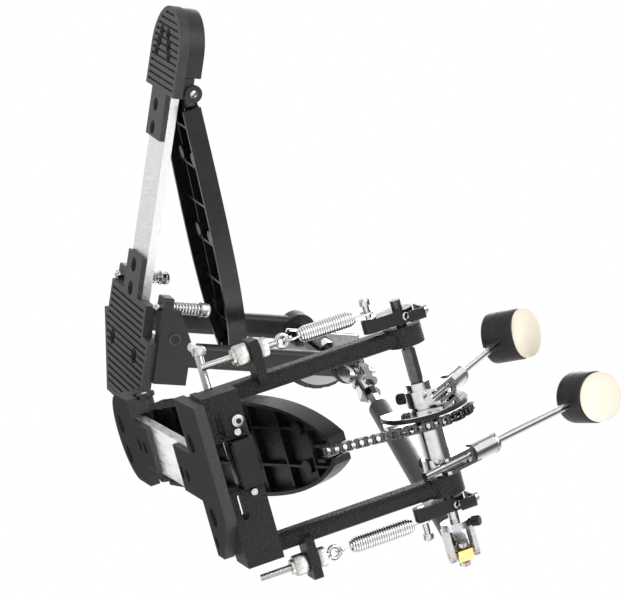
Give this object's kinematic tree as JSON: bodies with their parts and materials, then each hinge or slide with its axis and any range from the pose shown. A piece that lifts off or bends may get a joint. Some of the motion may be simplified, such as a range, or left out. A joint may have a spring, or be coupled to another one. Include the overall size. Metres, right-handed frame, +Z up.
{
  "type": "double bass drum pedal",
  "caption": "Foot pedal for playing a bass drum with both feet: a main pedal with beaters on sprung axles, joined by a jointed drive shaft to a slave pedal.",
  "frame": {"origin": "on the floor under the middle of the main pedal's axle, on the front plate's underside", "axes": "+X to the player's right along the main axle, +Y forward to the drum, +Z up"},
  "size_m": [0.4398, 0.4559, 0.3402],
  "materials": {
    "black_coat": "hammertone powder coat",
    "plate_grey": "grooved dark underside",
    "slave_coat": "cast, smooth black paint",
    "slave_plate_grey": "moulded, grooved underside",
    "bar_metal": "brushed flat bar",
    "board_black": "black anodised, ribbed underside",
    "bright_steel": "polished",
    "dark_steel": "dark machined steel",
    "chain_steel": "oiled",
    "brass_cross": "machined",
    "tube_grey": "dark anodised",
    "bearing_steel": "ground",
    "head_black": "moulded",
    "felt_cream": "pressed felt",
    "spring_steel": "bright wire"
  },
  "bodies": {
    "main_frame": {"main_frame": "black_coat", "main_bearings": "bearing_steel", "main_grip_plate": "plate_grey", "main_heel": "plate_grey", "main_bar": "bar_metal", "main_hinge_pin": "bright_steel", "right_spring": "spring_steel", "left_spring": "spring_steel", "eyebolts": "bright_steel", "eyebolt_nuts": "bright_steel", "yoke_b": "bright_steel"},
    "main_axle": {"main_axle": "dark_steel", "main_cam": "bright_steel", "main_wound_chain": "chain_steel", "beater_1_clamp": "bright_steel", "right_rocker": "black_coat", "right_spring_screw": "bright_steel"},
    "left_axle": {"left_axle": "bright_steel", "beater_2_clamp": "bright_steel", "left_rocker": "black_coat", "left_spring_screw": "bright_steel"},
    "beater_1": {"beater_1_rod": "bright_steel", "beater_1_head": "head_black", "beater_1_felt": "felt_cream"},
    "beater_2": {"beater_2_rod": "bright_steel", "beater_2_head": "head_black", "beater_2_felt": "felt_cream"},
    "main_board": {"main_board": "board_black", "main_anchor": "chain_steel"},
    "hoop_jaw": {"hoop_jaw": "black_coat"},
    "t_screw": {"t_screw": "bright_steel"},
    "cross_b": {"cross_b": "brass_cross"},
    "shaft_tube": {"fork_b": "bright_steel", "shaft_tube": "tube_grey"},
    "shaft_rod": {"shaft_rod": "bright_steel", "cross_a": "bright_steel"},
    "yoke_a": {"yoke_a": "bright_steel"},
    "slave_frame": {"slave_frame": "slave_coat", "slave_bearings": "bearing_steel", "slave_grip_plate": "slave_plate_grey", "spur_screws": "bright_steel", "spur_springs": "spring_steel", "slave_heel": "slave_plate_grey", "slave_bar": "bar_metal", "slave_hinge_pin": "bright_steel"},
    "slave_axle": {"slave_axle": "dark_steel", "slave_cam": "bright_steel", "slave_wound_chain": "chain_steel"},
    "slave_board": {"slave_board": "board_black", "slave_anchor": "chain_steel"},
    "main_link_1": {"main_link_1": "chain_steel"},
    "main_link_2": {"main_link_2": "chain_steel"},
    "main_link_3": {"main_link_3": "chain_steel"},
    "main_link_4": {"main_link_4": "chain_steel"},
    "main_link_5": {"main_link_5": "chain_steel"},
    "main_chain_run": {"main_chain_run": "chain_steel"},
    "slave_link_1": {"slave_link_1": "chain_steel"},
    "slave_link_2": {"slave_link_2": "chain_steel"},
    "slave_link_3": {"slave_link_3": "chain_steel"},
    "slave_chain_run": {"slave_chain_run": "chain_steel"}
  },
  "joints": [
    {"name": "main_axle_turn", "type": "hinge", "parent": "main_frame", "child": "main_axle", "pos_m": [0, 0, 0.175], "axis": [-1, 0, 0], "range_deg": [0, 42.09], "stiffness_Nm_per_rad": 0.6, "springref_deg": -22.92, "deforming": ["right_spring"]},
    {"name": "main_board_hinge", "type": "hinge", "parent": "main_frame", "child": "main_board", "pos_m": [0, -0.21, 0.017], "axis": [-1, 0, 0], "range_deg": [0, 7.92]},
    {"name": "left_axle_turn", "type": "hinge", "parent": "main_frame", "child": "left_axle", "pos_m": [-0.05, 0, 0.175], "axis": [-1, 0, 0], "range_deg": [0, 24.79], "deforming": ["left_spring"]},
    {"name": "main_link_1_pin", "type": "hinge", "parent": "main_axle", "child": "main_link_1", "pos_m": [-0.005, 0.0302, 0.19268], "axis": [-1, 0, 0], "range_deg": [-5.5, 0.2]},
    {"name": "main_link_2_pin", "type": "hinge", "parent": "main_link_1", "child": "main_link_2", "pos_m": [-0.005, 0.0329, 0.18693], "axis": [-1, 0, 0], "range_deg": [-10.71, 0.2]},
    {"name": "main_link_3_pin", "type": "hinge", "parent": "main_link_2", "child": "main_link_3", "pos_m": [-0.005, 0.03452, 0.18079], "axis": [-1, 0, 0], "range_deg": [-10.71, 0.2]},
    {"name": "main_link_4_pin", "type": "hinge", "parent": "main_link_3", "child": "main_link_4", "pos_m": [-0.005, 0.035, 0.17446], "axis": [-1, 0, 0], "range_deg": [-10.71, 0.2]},
    {"name": "main_link_5_pin", "type": "hinge", "parent": "main_link_4", "child": "main_link_5", "pos_m": [-0.005, 0.03432, 0.16815], "axis": [-1, 0, 0], "range_deg": [-10.71, 0.2]},
    {"name": "main_chain_run_pin", "type": "hinge", "parent": "main_board", "child": "main_chain_run", "pos_m": [-0.005, 0.00434, 0.09126], "axis": [-1, 0, 0], "range_deg": [-17.98, 0.2]},
    {"name": "beater_1_height", "type": "slide", "parent": "main_axle", "child": "beater_1", "axis": [0, -0.749, 0.6626], "range_m": [-0.03, 0.02]},
    {"name": "beater_2_height", "type": "slide", "parent": "left_axle", "child": "beater_2", "axis": [0, -0.4067, 0.9135], "range_m": [-0.03, 0.02]},
    {"name": "t_screw_turn", "type": "hinge", "parent": "main_frame", "child": "t_screw", "pos_m": [0.07, -0.002, 0.021], "axis": [1, 0, 0], "range_deg": [0, 360]},
    {"name": "jaw_pivot", "type": "hinge", "parent": "main_frame", "child": "hoop_jaw", "pos_m": [0.0115, 0.014, 0.029], "axis": [-1, 0, 0], "range_deg": [0, 6.01]},
    {"name": "shaft_swing", "type": "hinge", "parent": "main_frame", "child": "cross_b", "pos_m": [-0.114, 0, 0.175], "axis": [0, 0, 1], "range_deg": [0, 3]},
    {"name": "shaft_lift", "type": "hinge", "parent": "cross_b", "child": "shaft_tube", "pos_m": [-0.114, 0, 0.175], "axis": [-0.9349, -0.3549, 0], "range_deg": [0, 16]},
    {"name": "shaft_length", "type": "slide", "parent": "shaft_tube", "child": "shaft_rod", "axis": [0.3531, -0.9301, 0.1011], "range_m": [0, 0.04]},
    {"name": "slave_swing", "type": "hinge", "parent": "shaft_rod", "child": "yoke_a", "pos_m": [-0.0169, -0.2558, 0.2028], "axis": [-0.3722, -0.0762, 0.925], "range_deg": [0, 20]},
    {"name": "slave_tilt", "type": "hinge", "parent": "yoke_a", "child": "slave_frame", "pos_m": [-0.0169, -0.2558, 0.2028], "axis": [-0.1624, 0.9866, 0.0159], "range_deg": [-25, 0]},
    {"name": "slave_axle_turn", "type": "hinge", "parent": "slave_frame", "child": "slave_axle", "pos_m": [-0.00163, -0.34854, 0.20131], "axis": [0.1624, -0.9866, -0.0159], "range_deg": [0, 24.29], "stiffness_Nm_per_rad": 0.6, "springref_deg": -22.92},
    {"name": "slave_board_hinge", "type": "hinge", "parent": "slave_frame", "child": "slave_board", "pos_m": [0.24908, -0.30619, 0.13486], "axis": [0.1624, -0.9866, -0.0159], "range_deg": [0, 4.86]},
    {"name": "slave_link_1_pin", "type": "hinge", "parent": "slave_axle", "child": "slave_link_1", "pos_m": [-0.03452, -0.3589, 0.19349], "axis": [0.1624, -0.9866, -0.0159], "range_deg": [-5.5, 0.2]},
    {"name": "slave_link_2_pin", "type": "hinge", "parent": "slave_link_1", "child": "slave_link_2", "pos_m": [-0.0326, -0.35848, 0.18745], "axis": [0.1624, -0.9866, -0.0159], "range_deg": [-10.71, 0.2]},
    {"name": "slave_link_3_pin", "type": "hinge", "parent": "slave_link_2", "child": "slave_link_3", "pos_m": [-0.02963, -0.35791, 0.18186], "axis": [0.1624, -0.9866, -0.0159], "range_deg": [-10.71, 0.2]},
    {"name": "slave_chain_run_pin", "type": "hinge", "parent": "slave_board", "child": "slave_chain_run", "pos_m": [0.02638, -0.34772, 0.12212], "axis": [0.1624, -0.9866, -0.0159], "range_deg": [-11.9, 0.2]}
  ],
  "couplings": [
    {"joint": "main_board_hinge", "follows": "main_axle_turn", "ratio": 0.18101},
    {"joint": "main_link_1_pin", "follows": "main_axle_turn", "ratio": -0.12366},
    {"joint": "main_link_2_pin", "follows": "main_axle_turn", "ratio": -0.24731},
    {"joint": "main_link_3_pin", "follows": "main_axle_turn", "ratio": -0.24731},
    {"joint": "main_link_4_pin", "follows": "main_axle_turn", "ratio": -0.24731},
    {"joint": "main_link_5_pin", "follows": "main_axle_turn", "ratio": -0.24731},
    {"joint": "main_chain_run_pin", "follows": "main_axle_turn", "ratio": -0.41758},
    {"joint": "jaw_pivot", "follows": "t_screw_turn", "ratio": 0.016667},
    {"joint": "left_axle_turn", "follows": "slave_axle_turn", "ratio": 1},
    {"joint": "slave_board_hinge", "follows": "slave_axle_turn", "ratio": 0.1878},
    {"joint": "slave_link_1_pin", "follows": "slave_axle_turn", "ratio": -0.21426},
    {"joint": "slave_link_2_pin", "follows": "slave_axle_turn", "ratio": -0.42852},
    {"joint": "slave_link_3_pin", "follows": "slave_axle_turn", "ratio": -0.42852},
    {"joint": "slave_chain_run_pin", "follows": "slave_axle_turn", "ratio": -0.47335}
  ]
}
